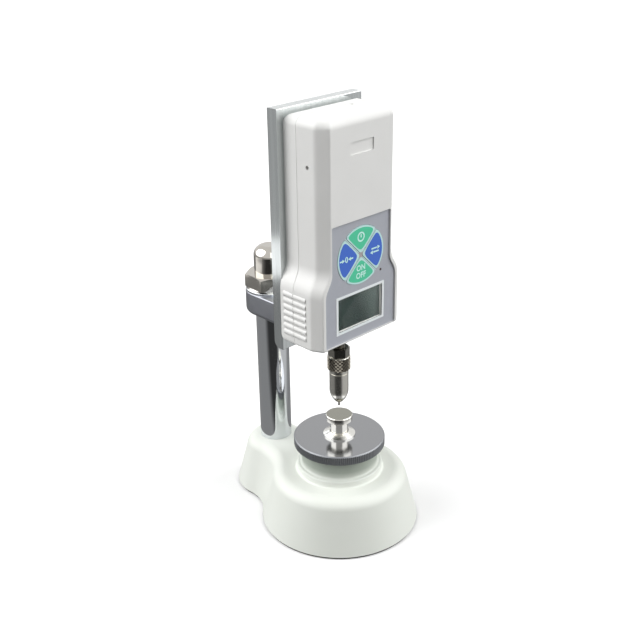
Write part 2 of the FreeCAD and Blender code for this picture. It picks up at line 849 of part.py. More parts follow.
def inset_section(points, t):
    """A polygon drawn in by t on every side, corner by corner."""
    drawn = []
    count = len(points)
    for i in range(count):
        here = V(points[i][0], points[i][1], 0)
        before = (V(points[i - 1][0], points[i - 1][1], 0) - here).normalize()
        after = (V(points[(i + 1) % count][0], points[(i + 1) % count][1], 0) - here).normalize()
        half = before.getAngle(after) / 2
        moved = here + (before + after).normalize() * (t / math.sin(half))
        drawn.append((moved.x, moved.y))
    return drawn


def case_section(front, side, back):
    """The case's section: a flat front, slanted bands, and sides that draw in to the back."""
    return [(-front, case_front), (front, case_front), (side, bevel_back), (side, seam),
            (back, case_back), (-back, case_back), (-side, seam), (-side, bevel_back)]


narrow_section = case_section(narrow_front, narrow_side, narrow_back)
wide_section = case_section(wide_front, wide_side, wide_back)


def case_solid(t):
    """The case's form drawn in by t, with plain edges and, round the top, a slanted band.

    The band touches the middle of the outer form's rounding, drawn in by the same t.
    """
    slant = (case_edge_radius - t) * (2 - math.sqrt(2))
    levels = [(wide_section, t, case_bottom + t), (wide_section, t, flare_bottom),
              (narrow_section, t, flare_top), (narrow_section, t, case_top - t - slant),
              (narrow_section, t + slant, case_top - t)]
    wires = []
    for section, inset, z in levels:
        corners = inset_section(section, inset)
        wires.append(Part.makePolygon([V(x, y, z) for x, y in corners + corners[:1]]))
    return Part.makeLoft(wires, True, True)


def half_space(front, back):
    """Everything between two places along Y."""
    reach = 2 * wide_side
    return box((-reach, front, case_bottom - reach), (reach, back, case_top + reach))


def case_outline(wide, narrow, y, t):
    """The case seen from the front at one depth, with soft bends at the flare, drawn in by t."""
    half = [(wide - t, case_bottom + t), (wide - t, flare_bottom, flare_bend),
            (narrow - t, flare_top, flare_bend), (narrow - t, case_top - t)]
    other = [(-corner[0],) + corner[1:] for corner in reversed(half)]
    return rounded_outline(half + other, lambda p: V(p.x, y, p.y))


def edges_in_plane(shape, axis, place):
    """Numbers of the edges that lie in the plane where axis 0, 1 or 2 has one value."""
    return [number for number, edge in enumerate(shape.Edges, 1)
            if all(abs(end.Point[axis] - place) < 1e-6 for end in edge.Vertexes)]


def round_edges(shape, radii):
    """Round several sets of edges in one step, each to its own radius, so that their corners blend."""
    document = FreeCAD.newDocument()
    base = document.addObject("Part::Feature", "base")
    base.Shape = shape
    rounding = document.addObject("Part::Fillet", "rounding")
    rounding.Base = base
    rounding.Edges = [(number, radius, radius) for numbers, radius in radii for number in numbers]
    document.recompute()
    solid = rounding.Shape.copy()
    FreeCAD.closeDocument(document.Name)
    return solid


def case_half(sections, front, back, t):
    """The rounded form of one half of the case, between two places along Y, drawn in a little by t."""
    body = Part.makeLoft([case_outline(*section, t) for section in sections], True, True)
    top = edges_in_plane(body, 2, case_top - t)
    foot = edges_in_plane(body, 2, case_bottom + t)
    heel = [k for k in edges_in_plane(body, 1, case_back) if k in foot]
    foot = [k for k in foot if k not in heel]
    upright = [k for k in range(1, len(body.Edges) + 1) if k not in top + foot + heel]
    front_corners = [k for k in edges_in_plane(body, 1, case_front) if k in upright]
    side_corners = [k for k in edges_in_plane(body, 1, bevel_back) if k in upright]
    body = round_edges(body, [(top, case_edge_radius - t), (foot, case_foot_radius - t),
                              (heel, case_heel_radius - t), (front_corners, front_edge_radius),
                              (side_corners, side_edge_radius)])
    return body.common(half_space(front, back))


def grip_side_ribs(front, back):
    """The half-round ribs on both sides of the case, between two places along Y."""
    ribs = []
    for k in range(grip_ribs):
        z = case_bottom + grip_first + k * grip_pitch
        for side in (-1, 1):
            x = side * (wide_side + grip_rib_proud - grip_rib_radius)
            ribs.append(rod_y(grip_rib_radius, front, back, x, z))
    return ribs


def front_half():
    past_seam = seam + 2 * case_edge_radius
    body = case_half([(wide_front, narrow_front, case_front), (wide_side, narrow_side, bevel_back),
                      (wide_side, narrow_side, past_seam)], case_front - bite, seam, 0)
    return fuse_all(body, grip_side_ribs(case_front + grip_front, seam))


def rear_half(t):
    """The rear half's outer form drawn in by t, without the ribs on its sides."""
    past_seam = seam - 2 * case_edge_radius
    draft = (case_back - past_seam) / (case_back - seam)
    wide = wide_back + (wide_side - wide_back) * draft
    narrow = narrow_back + (narrow_side - narrow_back) * draft
    return case_half([(wide, narrow, past_seam), (wide_back, narrow_back, case_back)],
                     seam, case_back + bite, t)


def panel_corners(grow, radius=0, bend=0):
    """The overlay's outline, which follows the case's flare; grow moves it outwards."""
    low = case_bottom + panel_rim_foot - grow
    high = low + panel_height + 2 * grow
    wide = wide_front - panel_rim_wide + grow
    narrow = narrow_front - panel_rim_narrow + grow
    low_bend = flare_bottom - panel_drop
    high_bend = flare_top - panel_drop
    return [(-wide, low, radius), (wide, low, radius), (wide, low_bend, bend),
            (narrow, high_bend, bend), (narrow, high, radius), (-narrow, high, radius),
            (-narrow, high_bend, bend), (-wide, low_bend, bend)]


key_centre = case_bottom + key_rise
display_centre = case_bottom + display_rise
key_names = ("key_top", "key_left", "key_bottom", "key_right")


def petal(k, grow, front, depth):
    """One quarter of the round key pad, k quarter turns from the top; grow moves its edge out."""
    centre = V(0, front, key_centre)
    a = key_half_width + grow
    b = key_half_height + grow
    oval = Part.Ellipse(centre + V(a, 0, 0), centre + V(0, 0, b), centre).toShape()
    disc = Part.Face(Part.Wire([oval])).extrude(V(0, depth, 0))
    start = key_split / 2 * math.sqrt(2) - grow
    size = 2 * key_half_width
    quarter = Part.makeBox(size, depth, size, V(start, front, key_centre + start))
    quarter.rotate(centre, V(0, 1, 0), -45 - 90 * k)
    body = disc.common(quarter)
    across = [e for e in body.Edges if abs(e.BoundBox.YLength - depth) < 1e-6 and e.BoundBox.XLength < 1e-6]
    return body.makeFillet(key_corner + grow, across)


def key_place(k):
    """Where the stem of key k stands, in X and Z."""
    angle = math.radians(90 + 90 * k)
    return key_reach * math.cos(angle), key_centre + key_reach * math.sin(angle)


case_screw_places = mirrored_x([case_screw_side_high, case_screw_side_low],
                               [case_top - case_screw_below_top, case_bottom + case_screw_low])
post_places = mirrored_x([post_side, post_side], [case_bottom + post_low, case_top - post_below_top])
led_z = case_bottom + led_rise
jack_z = case_top - jack_below_top
jack_y = case_front + jack_back
jack_front = -narrow_side + case_wall
case_screw_tip = seam - case_screw_bite


def front_cover():
    shell = front_half()
    hollow = case_solid(case_wall)
    pad = panel(panel_corners(panel_wall), case_front, panel_inside - case_front)
    posts = [rod_y(post_radius, case_front + panel_sink, board_front, x, z) for x, z in post_places]
    bosses = [rod_y(case_boss_radius, case_front + panel_sink, seam, x, z) for x, z in case_screw_places]
    kept = [pad] + posts + bosses
    shell = shell.cut(cut_all(hollow, kept).common(half_space(case_front, seam)))
    blank_top = case_top - blank_below_top
    tools = [panel(panel_corners(0, panel_corner, panel_bend), case_front, pocket_floor - case_front),
             panel(rectangle(window_width / 2 + slip_gap, display_centre - window_height / 2 - slip_gap,
                             display_centre + window_height / 2 + slip_gap), pocket_floor, panel_wall),
             rod_y(led_radius + slip_gap, pocket_floor, panel_inside, led_side, led_z),
             rod_x(jack_bore_radius + slip_gap, -narrow_side - bite, jack_front, jack_y, jack_z),
             panel(rectangle(blank_width / 2, blank_top - blank_height, blank_top, blank_corner),
                   case_front, blank_depth),
             rod_z(vent_radius, case_top - vent_depth, case_top, vent_side, case_front + vent_back),
             rod_z(seal_radius, case_bottom - bite, case_bottom + case_wall + bite)]
    tools += [petal(k, key_gap, pocket_floor, panel_wall) for k in range(4)]
    tools += [rod_y(board_screw_radius, board_front - board_screw_bite, board_front, x, z)
              for x, z in post_places]
    tools += [rod_y(case_screw_radius, case_screw_tip, seam, x, z) for x, z in case_screw_places]
    return cut_all(shell, tools)


def rear_cover():
    outside = rear_half(0)
    reveal = outside.common(half_space(seam, seam + seam_width))
    shell = outside.cut(reveal.cut(rear_half(seam_width)))
    shell = fuse_all(shell, grip_side_ribs(seam + seam_width, case_front + grip_front + grip_length_back))
    hollow = case_solid(case_wall)
    bosses = [rod_y(gauge_boss_radius, back_inside - gauge_screw_bite, case_back, x, z)
              for x, z in upper_gauge_screws]
    bosses += [rod_y(case_boss_radius, seam, case_back, x, z) for x, z in case_screw_places]
    shelf_top = case_bottom + battery_shelf
    half = narrow_back
    bosses.append(box((-half, back_inside - shelf_depth, shelf_top - shelf_thickness),
                      (half, case_back, shelf_top)).common(outside))
    inner = cut_all(hollow, bosses).common(half_space(seam, case_back))
    shell = shell.cut(inner)
    lip = case_solid(case_wall + slip_gap).cut(case_solid(case_wall + slip_gap + lip_thickness))
    lip = lip.common(half_space(seam - lip_height, seam + bite))
    room = [rod_y(case_boss_radius + slip_gap, seam - lip_height - bite, seam, x, z)
            for x, z in case_screw_places]
    room.append(rod_z(seal_radius + seal_flange + slip_gap, case_bottom + case_wall,
                      case_bottom + case_wall + lip_thickness + bite))
    shell = fuse_all(shell, [cut_all(lip, room)])
    tools = [rod_z(seal_radius, case_bottom - bite, case_bottom + case_wall + bite)]
    tools += [rod_y(gauge_screw_radius, case_back - gauge_screw_bite, case_back, x, z)
              for x, z in upper_gauge_screws]
    tools += [rod_y(gauge_screw_radius + slip_gap, back_inside - bite, case_back, x, z)
              for x, z in lower_gauge_screws]
    head_seat = case_back - case_screw_head_height
    for x, z in case_screw_places:
        tools.append(rod_y(case_screw_radius + slip_gap, seam, case_back, x, z))
        tools.append(rod_y(case_screw_head_radius + slip_gap, head_seat, case_back, x, z))
    return cut_all(shell, tools)


def case_screws():
    screws = []
    for x, z in case_screw_places:
        seat = case_back - case_screw_head_height
        head = rod_y(case_screw_head_radius, seat, case_back, x, z)
        shank = rod_y(case_screw_radius, case_screw_tip, seat, x, z)
        socket = hex_socket(case_screw_head_radius, case_screw_head_height, case_back, -1, x, z)
        screws.append(head.fuse(shank).cut(socket))
    return Part.makeCompound(screws)


export("front_cover", front_cover())
export("rear_cover", rear_cover())
export("case_screws", case_screws())

# Panel overlay, keys and display

def panel_overlay():
    body = panel(panel_corners(-slip_gap / 2, panel_corner, panel_bend), overlay_front, panel_thickness)
    tools = [petal(k, key_gap, overlay_front, panel_thickness) for k in range(4)]
    tools.append(panel(rectangle(frame_width / 2, display_centre - frame_height / 2,
                                 display_centre + frame_height / 2), overlay_front, panel_thickness))
    tools.append(rod_y(led_radius + slip_gap, overlay_front, pocket_floor, led_side, led_z))
    return cut_all(body, tools)


def key(k):
    """A petal-shaped key cap, the flange that keeps it in, and the stem to its switch."""
    flange_front = panel_inside + slip_gap
    front = overlay_front - key_proud
    cap = petal(k, 0, front, flange_front - front)
    x, z = key_place(k)
    flange = rod_y(key_flange_radius, flange_front, flange_front + key_flange, x, z)
    stem = rod_y(key_stem_radius, flange_front + key_flange,
                 board_front - switch_height - switch_button - key_travel - slip_gap, x, z)
    return fuse_all(cap, [flange, stem])


def key_switches():
    """Four low tact switches on the board, one behind each key."""
    switches = []
    half = switch_size / 2
    for k in range(4):
        x, z = key_place(k)
        body = box((x - half, board_front - switch_height, z - half), (x + half, board_front, z + half))
        button = rod_y(key_stem_radius, board_front - switch_height - switch_button,
                       board_front - switch_height, x, z)
        switches.append(body.fuse(button))
    return Part.makeCompound(switches)


def lcd_frame():
    front = overlay_front - frame_proud
    outer = panel(rectangle(frame_width / 2, display_centre - frame_height / 2,
                            display_centre + frame_height / 2), front, pocket_floor - front)
    inner = panel(rectangle(window_width / 2, display_centre - window_height / 2,
                            display_centre + window_height / 2), front, pocket_floor - front)
    return outer.cut(inner)


def lcd_window():
    front = overlay_front - frame_proud + window_sink
    return panel(rectangle(window_width / 2, display_centre - window_height / 2,
                           display_centre + window_height / 2), front, panel_inside - front)


def lcd_module():
    """The display cell in its frame, with the two pin rows that stand it on the board."""
    half = window_width / 2 + display_border
    low = display_centre - window_height / 2 - display_margin
    high = display_centre + window_height / 2 + display_margin
    depth = board_front - panel_inside
    glass = box((-half, panel_inside, low), (half, panel_inside + depth / 2, high))
    rows = [box((-half, panel_inside + depth / 2, z), (half, board_front, z + pin_row))
            for z in (low, high - pin_row)]
    return fuse_all(glass, rows)


def status_led():
    lens = rod_y(led_radius, overlay_front, panel_inside, led_side, led_z)
    body = rod_y(led_body_radius, panel_inside, board_front, led_side, led_z)
    return lens.fuse(body)


for index, key_name in enumerate(key_names):
    export(key_name, key(index))
export("panel_overlay", panel_overlay())
export("key_switches", key_switches())
export("lcd_frame", lcd_frame())
export("lcd_window", lcd_window())
export("lcd_module", lcd_module())
export("status_led", status_led())

# Electronics and supply

def circuit_board():
    low = case_bottom + board_foot
    high = case_top - board_below_top
    body = panel(rectangle(board_half_width, low, high, board_corner), board_front, board_thickness)
    for x, z in post_places:
        body = body.cut(rod_y(board_screw_radius + slip_gap, board_front, board_back, x, z))
    return body


def board_screws():
    screws = []
    for x, z in post_places:
        head = rod_y(board_screw_head, board_back, board_back + board_screw_head_height, x, z)
        shank = rod_y(board_screw_radius, board_front - board_screw_bite, board_back, x, z)
        screws.append(head.fuse(shank))
    return Part.makeCompound(screws)


def charging_jack():
    half = jack_size / 2
    body = box((jack_front, board_back, jack_z - half),
               (jack_front + jack_length, jack_y + half, jack_z + half))
    return body.cut(rod_x(jack_bore_radius, jack_front, jack_front + jack_bore_depth, jack_y, jack_z))


def battery_pack():
    """Four cells side by side in one shrink sleeve, standing on the shelf."""
    bottom = case_bottom + battery_shelf
    length = case_top - gauge_screw_below_top - gauge_boss_radius - battery_clear - bottom
    centre = back_inside - battery_radius - slip_gap
    pitch = 2 * battery_radius
    first = -pitch * (battery_count - 1) / 2
    cells = [rod_z(battery_radius, bottom, bottom + length, first + k * pitch, centre)
             for k in range(battery_count)]
    web = box((first, centre - battery_radius / 2, bottom),
              (-first, centre + battery_radius / 2, bottom + length))
    return fuse_all(cells[0], cells[1:] + [web])


export("circuit_board", circuit_board())
export("board_screws", board_screws())
export("charging_jack", charging_jack())
export("battery_pack", battery_pack())
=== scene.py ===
import bmesh
import bpy
import math
from mathutils import Matrix, Vector


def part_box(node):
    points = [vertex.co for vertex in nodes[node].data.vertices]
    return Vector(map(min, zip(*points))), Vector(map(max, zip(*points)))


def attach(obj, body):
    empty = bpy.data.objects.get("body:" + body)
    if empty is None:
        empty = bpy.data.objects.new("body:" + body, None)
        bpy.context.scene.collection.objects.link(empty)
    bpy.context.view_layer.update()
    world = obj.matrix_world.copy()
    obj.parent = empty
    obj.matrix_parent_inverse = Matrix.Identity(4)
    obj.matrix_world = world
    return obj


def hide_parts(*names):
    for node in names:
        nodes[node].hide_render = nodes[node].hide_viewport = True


# The looks of the grain hardness meter: the finish of every piece, the studio and the
# camera. Metres, in the frame of the solids: the origin is on the floor, on the axis of
# the anvil and the plunger, the front faces -Y and Z is up.

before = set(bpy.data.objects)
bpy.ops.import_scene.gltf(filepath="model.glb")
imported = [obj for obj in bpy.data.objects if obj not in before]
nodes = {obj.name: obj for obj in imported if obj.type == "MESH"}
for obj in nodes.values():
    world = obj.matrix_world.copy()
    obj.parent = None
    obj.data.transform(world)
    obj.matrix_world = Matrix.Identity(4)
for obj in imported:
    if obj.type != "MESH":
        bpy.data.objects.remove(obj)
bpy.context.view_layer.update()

MM = 0.001

# Colours, as they read in the photograph
ENAMEL = "#DFE2DC"
ENAMEL_SHADE = "#D9DDD5"
ENAMEL_PAINTED_SHADE = "#9EA69C"
ABS = "#E3E3E1"
ABS_SHADE = "#DCDCDA"
FILM = "#A8ABB3"
FILM_SHADE = "#A1A4AC"
KEY_EDGE = "#BFE2E0"
KEY_MIDDLE = "#A8A0A2"
KEY_GREEN = "#4CC49A"
KEY_BLUE = "#3D68C6"
FRAME_WHITE = "#E6EBEC"
DISPLAY_DARK = "#2A3230"
DISPLAY_PAINTED_REFLECTION = "#565E5C"
SIGN_INK = "#C8EFE8"
CHROME = "#D9DCDF"
PLATE_STEEL = "#E2E5E5"
PLATE_SHADE = "#BAC0C0"
ARM_GREY = "#999BA1"
ARM_SHADE = "#888A90"
WHEEL_FACE_PAINTED_REFLECTION = "#999A9C"
WHEEL_RIM_PAINTED_REFLECTION = "#828487"
BRIGHT_STEEL = "#DAD9D4"
ANVIL_SIDE_PAINTED_REFLECTION = "#D2D0CA"
ANVIL_FACE_PAINTED_REFLECTION = "#98978E"
PROBE_STEEL = "#CBC9C2"
PROBE_NOSE_PAINTED_REFLECTION = "#EFEDE6"
GRIP_STEEL = "#625E56"
GROOVE_PAINTED_SHADE = "#45423C"
ROD_NICKEL = "#767269"
NUT_NICKEL = "#95928A"
DOME_NICKEL = "#BFBBB4"
SCREW_STEEL = "#8C8E90"
BRONZE = "#A8824E"
SOLE_BLACK = "#33322F"
BOARD_GREEN = "#2F6B46"
BLACK_PLASTIC = "#1C1D1E"
ALUMINIUM = "#B9BCBE"
SLEEVE_BLUE = "#2C5FA8"
SEAL_BLACK = "#2A2B2B"
LAMP_DARK = "#4E4243"
GLASS_CLEAR = "#FAFBFA"
FLOOR_WHITE = "#F6F6F6"

# Patterns
NOISE_LOW = 0.3             # most of a noise lies between these two
NOISE_HIGH = 0.7
WAVE_PERIOD = math.pi / 10  # from one ring to the next in a wave texture of scale 1

# Places that get another finish than the rest of their piece, or painted shade, or a painted reflection
BOSS_SHADE_START = 15.0 * MM      # from the boss's top down to where the painted shade under the wheel ends
BOSS_SHADE_FULL = 8.0 * MM      # from the boss's top down to where the painted shade is at its darkest
FACED_TOP = (0.96, 0.99)    # the Z of a face's normal where the smoother finish and its painted reflection start and where they are full
TAPERED_END = (-0.08, -0.35)

# Screw thread of the load rod
THREAD_PITCH = 1.25 * MM
THREAD_DEPTH = 0.6 * MM
THREAD_SHARE = 0.96         # of the pitch that the ridge's foot covers
THREAD_SUNK = 0.05 * MM     # from the rod's surface in to the ridge's foot
THREAD_STEPS = 32           # in one turn of the ridge
ROD_STEPS = 48              # round the rod
AXIS_WELD = 0.0001 * MM     # within which the points that a spin leaves on the axis are joined

# Knurled grip of the probe
GRIP_LENGTH = 9.2 * MM
GRIP_EDGE = 0.5 * MM        # from the top of the probe down to its knurl
KNURL_STARTS = 18           # ridges each way: fewer than the real ones, so that they show
KNURL_SHARE = 0.42          # of the pitch that a ridge's foot covers
KNURL_PROUD = 0.35 * MM
KNURL_SUNK = 0.1 * MM       # from the grip's surface in to the ridge's foot
KNURL_STEPS = 12            # along a ridge

# Pane of the display
GLASS_THICKNESS = 1.0 * MM
GLASS_EDGE = 0.12 * MM      # of the bevel all round

# Print on the keys and the panel
PRINT_PROUD = 0.04 * MM
KEY_RIM = 0.85 * MM         # from a key's edge in to its coloured field
KEY_STEP = 0.5 * MM         # between the points of the field's outline
KEY_SOFTENING = 160         # rounds of smoothing that give the field its round corners
KEY_WELD = 0.002 * MM       # within which the points of a key's loose triangles are joined
KEY_FLATNESS = 0.01 * MM    # within which a face belongs to the key's front
CROSS_WIDTH = 0.5 * MM
CROSS_START = 2.6 * MM      # from the middle of the keys to the square's corners, where the lines start
CROSS_REACH = 20.0 * MM     # from the middle of the keys to the lines' ends

# Signs on the keys
SIGN_ABOVE = 12.2 * MM      # from the middle of the keys to the middles of their signs
SIGN_BELOW = 11.4 * MM
SIGN_BESIDE = 13.2 * MM
LETTER_HEIGHT = 3.9 * MM
LETTER_WEIGHT = 0.14 * MM   # that each side of a stroke gains
LETTER_NARROWING = 0.95     # of the letters in ON and OFF
CAPITAL_SHARE = 0.72        # of a font's size that its capitals are high
ON_RISE = 2.6 * MM
OFF_DROP = 2.5 * MM
DIAL_RADIUS = 3.3 * MM
DIAL_LINE = 1.0 * MM
DIAL_STEPS = 40             # round the dial
POINTER_LENGTH = 2.2 * MM
POINTER_RISE = 0.6 * MM
SHAFT_WIDTH = 0.95 * MM     # of every arrow
CLOSING_HEAD = 1.5 * MM     # the size of an arrow's head, for the two that close on the nought
CLOSING_HEAD_AT = 3.1 * MM  # from the nought's middle to the middle of a head or a shaft
CLOSING_SHAFT = 2.2 * MM
CLOSING_SHAFT_AT = 4.9 * MM
PASSING_HEAD = 1.6 * MM     # the same, for the two that pass each other
PASSING_HEAD_AT = 3.0 * MM
PASSING_SHAFT = 5.2 * MM
PASSING_SHAFT_AT = 0.9 * MM
PASSING_RISE = 1.25 * MM    # of one above, and of the other below, the sign's middle

# Studio: azimuths are degrees from the front towards the left, and a level of 1 is white
FLOOR_SIZE = 8.0
FLOOR_DROP = 0.05 * MM      # under what the object stands on
CARD_DROP = 0.1 * MM
LEFT_BOX = 130              # azimuth of the soft box at the camera's left
LEFT_LEVEL = 1.0
RIGHT_BOX = -36             # and of the one at its right
RIGHT_LEVEL = 0.9
BOX_ELEVATION = 30
BOX_SPREAD = 70             # angle that a box fills, in degrees
SKY_LOW = 0.32              # light that pale surfaces get from the horizon
SKY_HIGH = 0.54             # from overhead
GROUND_LIGHT = 0.05         # and from below
HORIZON = 0.1               # Z of a direction: from this far below to this far above, ground turns to sky

# What polished metal sees of the table: painted reflections, from a glowing card
TABLE_DARK = 0.04           # in front, towards the camera
TABLE_GREY = 0.28           # at the left and behind
TABLE_PALE = 0.62           # at the front right
TABLE_FAR = 0.46            # beyond the strip, at the least
DARK_SIDE = 55              # azimuth of the dark part
DARK_FULL = 0.88            # cosine of the angle from there up to which it is dark
DARK_GONE = 0.6             # and from which nothing is left of the dark
PALE_SIDE = -35             # azimuth of the pale part
PALE_START = 0.55           # cosines of the angles from there, as above
PALE_FULL = 0.85
STRIP_SIDE = 136            # azimuth of a bright strip across the table
STRIP_SPREAD = 0.88         # cosine of the angle from there to its ends
STRIP_DISTANCE = 0.575      # from the object's axis to the strip's middle
STRIP_HALF_WIDTH = 0.065
STRIP_LEVEL = 1.4

# Camera, at the photograph's viewing angle
CAMERA_PLACE = Vector((-0.4396, -0.4327, 0.4351))
CAMERA_AIM = Vector((0.0021, 0.0200, 0.1471))
CAMERA_ROLL = -0.8          # in degrees
CAMERA_LENS = 56.99         # in millimetres, as the sensor's width is
CAMERA_SENSOR = 36.0
CAMERA_NEAREST = 0.01
CAMERA_FARTHEST = 50.0


def linear(code):
    """An sRGB hex colour as linear red, green, blue and alpha."""
    parts = [int(code[k:k + 2], 16) / 255 for k in (1, 3, 5)]
    return [c / 12.92 if c <= 0.04045 else ((c + 0.055) / 1.055) ** 2.4 for c in parts] + [1.0]


def add(tree, kind, settings=None, links=None):
    """Add one shader node, give its fields and sockets their settings, and link what feeds it."""
    node = tree.nodes.new("ShaderNode" + kind)
    for key, value in (settings or {}).items():
        if isinstance(key, int) or key in node.inputs:
            node.inputs[key].default_value = value
        else:
            setattr(node, key, value)
    for key, output in (links or {}).items():
        tree.links.new(output, node.inputs[key])
    return node


def empty_material(name):
    """A material that has no nodes yet."""
    material = bpy.data.materials.new(name)
    material.use_nodes = True
    material.node_tree.nodes.clear()
    return material, material.node_tree


def start_material(name, settings):
    """A material with one surface shader, and the object's own coordinates to build patterns on."""
    material, tree = empty_material(name)
    surface = add(tree, "BsdfPrincipled", settings)
    add(tree, "OutputMaterial", {}, {"Surface": surface.outputs["BSDF"]})
    place = add(tree, "TexCoord").outputs["Object"]
    return material, tree, surface, place


def grain(tree, place, size, detail=2.0, stretch=(1, 1, 1)):
    """Noise whose grains measure size, in metres; a stretch under 1 draws them out along an axis."""
    spread = add(tree, "Mapping", {"Scale": stretch}, {"Vector": place})
    noise = add(tree, "TexNoise", {"Scale": 1 / size, "Detail": detail, "Roughness": 0.5},
                {"Vector": spread.outputs["Vector"]})
    return noise.outputs["Fac"]


def vary_colour(tree, surface, height, dark, light):
    """Run the surface's colour between two close shades."""
    mix = add(tree, "Mix", {"data_type": "RGBA", 6: linear(dark), 7: linear(light)}, {"Factor": height})
    tree.links.new(mix.outputs[2], surface.inputs["Base Color"])


def vary_roughness(tree, surface, height, low, high):
    """Run the surface's roughness between two values."""
    spread = add(tree, "MapRange", {"From Min": NOISE_LOW, "From Max": NOISE_HIGH,
                                    "To Min": low, "To Max": high}, {"Value": height})
    tree.links.new(spread.outputs["Result"], surface.inputs["Roughness"])


def relief(tree, surface, heights):
    """Bump the surface by each height; the second of each pair is how deep it is, in metres."""
    normal = None
    for height, depth in heights:
        links = {"Height": height}
        if normal:
            links["Normal"] = normal
        normal = add(tree, "Bump", {"Strength": 1.0, "Distance": depth}, links).outputs["Normal"]
    tree.links.new(normal, surface.inputs["Normal"])


def tint_part(tree, surface, part, colour):
    """Give the part of a surface where a value is 1 another colour than the rest."""
    base = surface.inputs["Base Color"]
    mix = add(tree, "Mix", {"data_type": "RGBA", 7: linear(colour)},
              {"Factor": part, 6: base.links[0].from_socket})
    tree.links.new(mix.outputs[2], base)


# Finishes

def stove_enamel():
    """White stove enamel on a casting: satin, with the sprayed coat's faint orange peel.

    It greys towards the top of the boss, under the wheel: painted shade where the wheel shadows it."""
    material, tree, surface, place = start_material(
        "white_enamel", {"Roughness": 0.5, "IOR": 1.5, "Coat Weight": 0.05, "Coat Roughness": 0.25})
    clouds = grain(tree, place, 30 * MM)
    waves = grain(tree, place, 14 * MM, detail=1.0)
    peel = grain(tree, place, 1.8 * MM, detail=1.0)
    vary_colour(tree, surface, clouds, ENAMEL_SHADE, ENAMEL)
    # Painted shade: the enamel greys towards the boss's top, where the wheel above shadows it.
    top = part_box("base_casting")[1].z
    height = add(tree, "SeparateXYZ", {}, {"Vector": place}).outputs["Z"]
    wheel_shade_paint = add(tree, "MapRange", {"From Min": top - BOSS_SHADE_START, "From Max": top - BOSS_SHADE_FULL},
               {"Value": height}).outputs["Result"]
    tint_part(tree, surface, wheel_shade_paint, ENAMEL_PAINTED_SHADE)
    relief(tree, surface, [(waves, 0.05 * MM), (peel, 0.006 * MM)])
    return material


def moulded_abs():
    """Off-white ABS from a spark-eroded mould: a satin skin with a fine even grain."""
    material, tree, surface, place = start_material("case_abs", {"IOR": 1.54})
    clouds = grain(tree, place, 22 * MM)
    skin = grain(tree, place, 0.35 * MM, detail=3.0)
    vary_colour(tree, surface, clouds, ABS_SHADE, ABS)
    vary_roughness(tree, surface, skin, 0.38, 0.52)
    relief(tree, surface, [(skin, 0.012 * MM)])
    return material


def chrome_plate():
    """Bright chrome on ground steel: a mirror, softened by faint lengthwise grinding."""
    material, tree, surface, place = start_material(
        "chrome_plate", {"Base Color": linear(CHROME), "Metallic": 1.0})
    lines = grain(tree, place, 0.5 * MM, stretch=(1, 1, 0.03))
    vary_roughness(tree, surface, lines, 0.05, 0.12)
    relief(tree, surface, [(lines, 0.002 * MM)])
    return material


def ground_steel():
    """Ground steel plate: grey, drawn lengthwise by the grinding belt, with long soft reflections."""
    material, tree, surface, place = start_material("plate_steel", {"Metallic": 1.0})
    bands = grain(tree, place, 2.5 * MM, detail=3.0, stretch=(1, 1, 0.03))
    lines = grain(tree, place, 0.6 * MM, detail=3.0, stretch=(1, 1, 0.02))
    vary_colour(tree, surface, bands, PLATE_SHADE, PLATE_STEEL)
    vary_roughness(tree, surface, lines, 0.08, 0.13)
    relief(tree, surface, [(lines, 0.004 * MM), (bands, 0.01 * MM)])
    return material


def grey_casting():
    """Machined and plated casting: satin grey metal with a fine blasted grain."""
    material, tree, surface, place = start_material("grey_casting", {"Metallic": 1.0})
    clouds = grain(tree, place, 12 * MM)
    skin = grain(tree, place, 0.4 * MM, detail=3.0)
    vary_colour(tree, surface, clouds, ARM_SHADE, ARM_GREY)
    vary_roughness(tree, surface, skin, 0.3, 0.42)
    relief(tree, surface, [(skin, 0.01 * MM)])
    return material


def facing(tree, first, full):
    """How much a face is tilted: 0 up to the first value of its normal's Z, 1 from the second."""
    normal = add(tree, "NewGeometry").outputs["Normal"]
    height = add(tree, "SeparateXYZ", {}, {"Vector": normal}).outputs["Z"]
    tilt = add(tree, "MapRange", {"From Min": first, "From Max": full}, {"Value": height})
    return tilt.outputs["Result"]


def turned_steel(name, side, face, side_rough, face_rough, pitch=0.5 * MM, tilt=FACED_TOP):
    """Steel turned on a lathe, with fine rings round the axis; its top or tapered end is finished last and
    smoother, and gets a tone of its own by which way it faces, a painted reflection.
    """
    material, tree, surface, place = start_material(name, {"Metallic": 1.0})
    smooth_end_and_painted_reflection = facing(tree, *tilt)
    # Painted reflection: the top or tapered end gets another tone than the sides, by which way the face
    # looks.
    vary_colour(tree, surface, smooth_end_and_painted_reflection, side, face)
    rings = add(tree, "TexWave", {"wave_type": "RINGS", "rings_direction": "Z", "wave_profile": "SIN",
                                  "Scale": WAVE_PERIOD / pitch, "Distortion": 0.6, "Detail": 2.0,
                                  "Detail Scale": 2.0}, {"Vector": place}).outputs["Fac"]
    skin = grain(tree, place, 0.5 * MM)
    gloss = add(tree, "MapRange", {"To Min": side_rough, "To Max": face_rough}, {"Value": smooth_end_and_painted_reflection})
    tree.links.new(gloss.outputs["Result"], surface.inputs["Roughness"])
    relief(tree, surface, [(rings, 0.004 * MM), (skin, 0.002 * MM)])
    return material


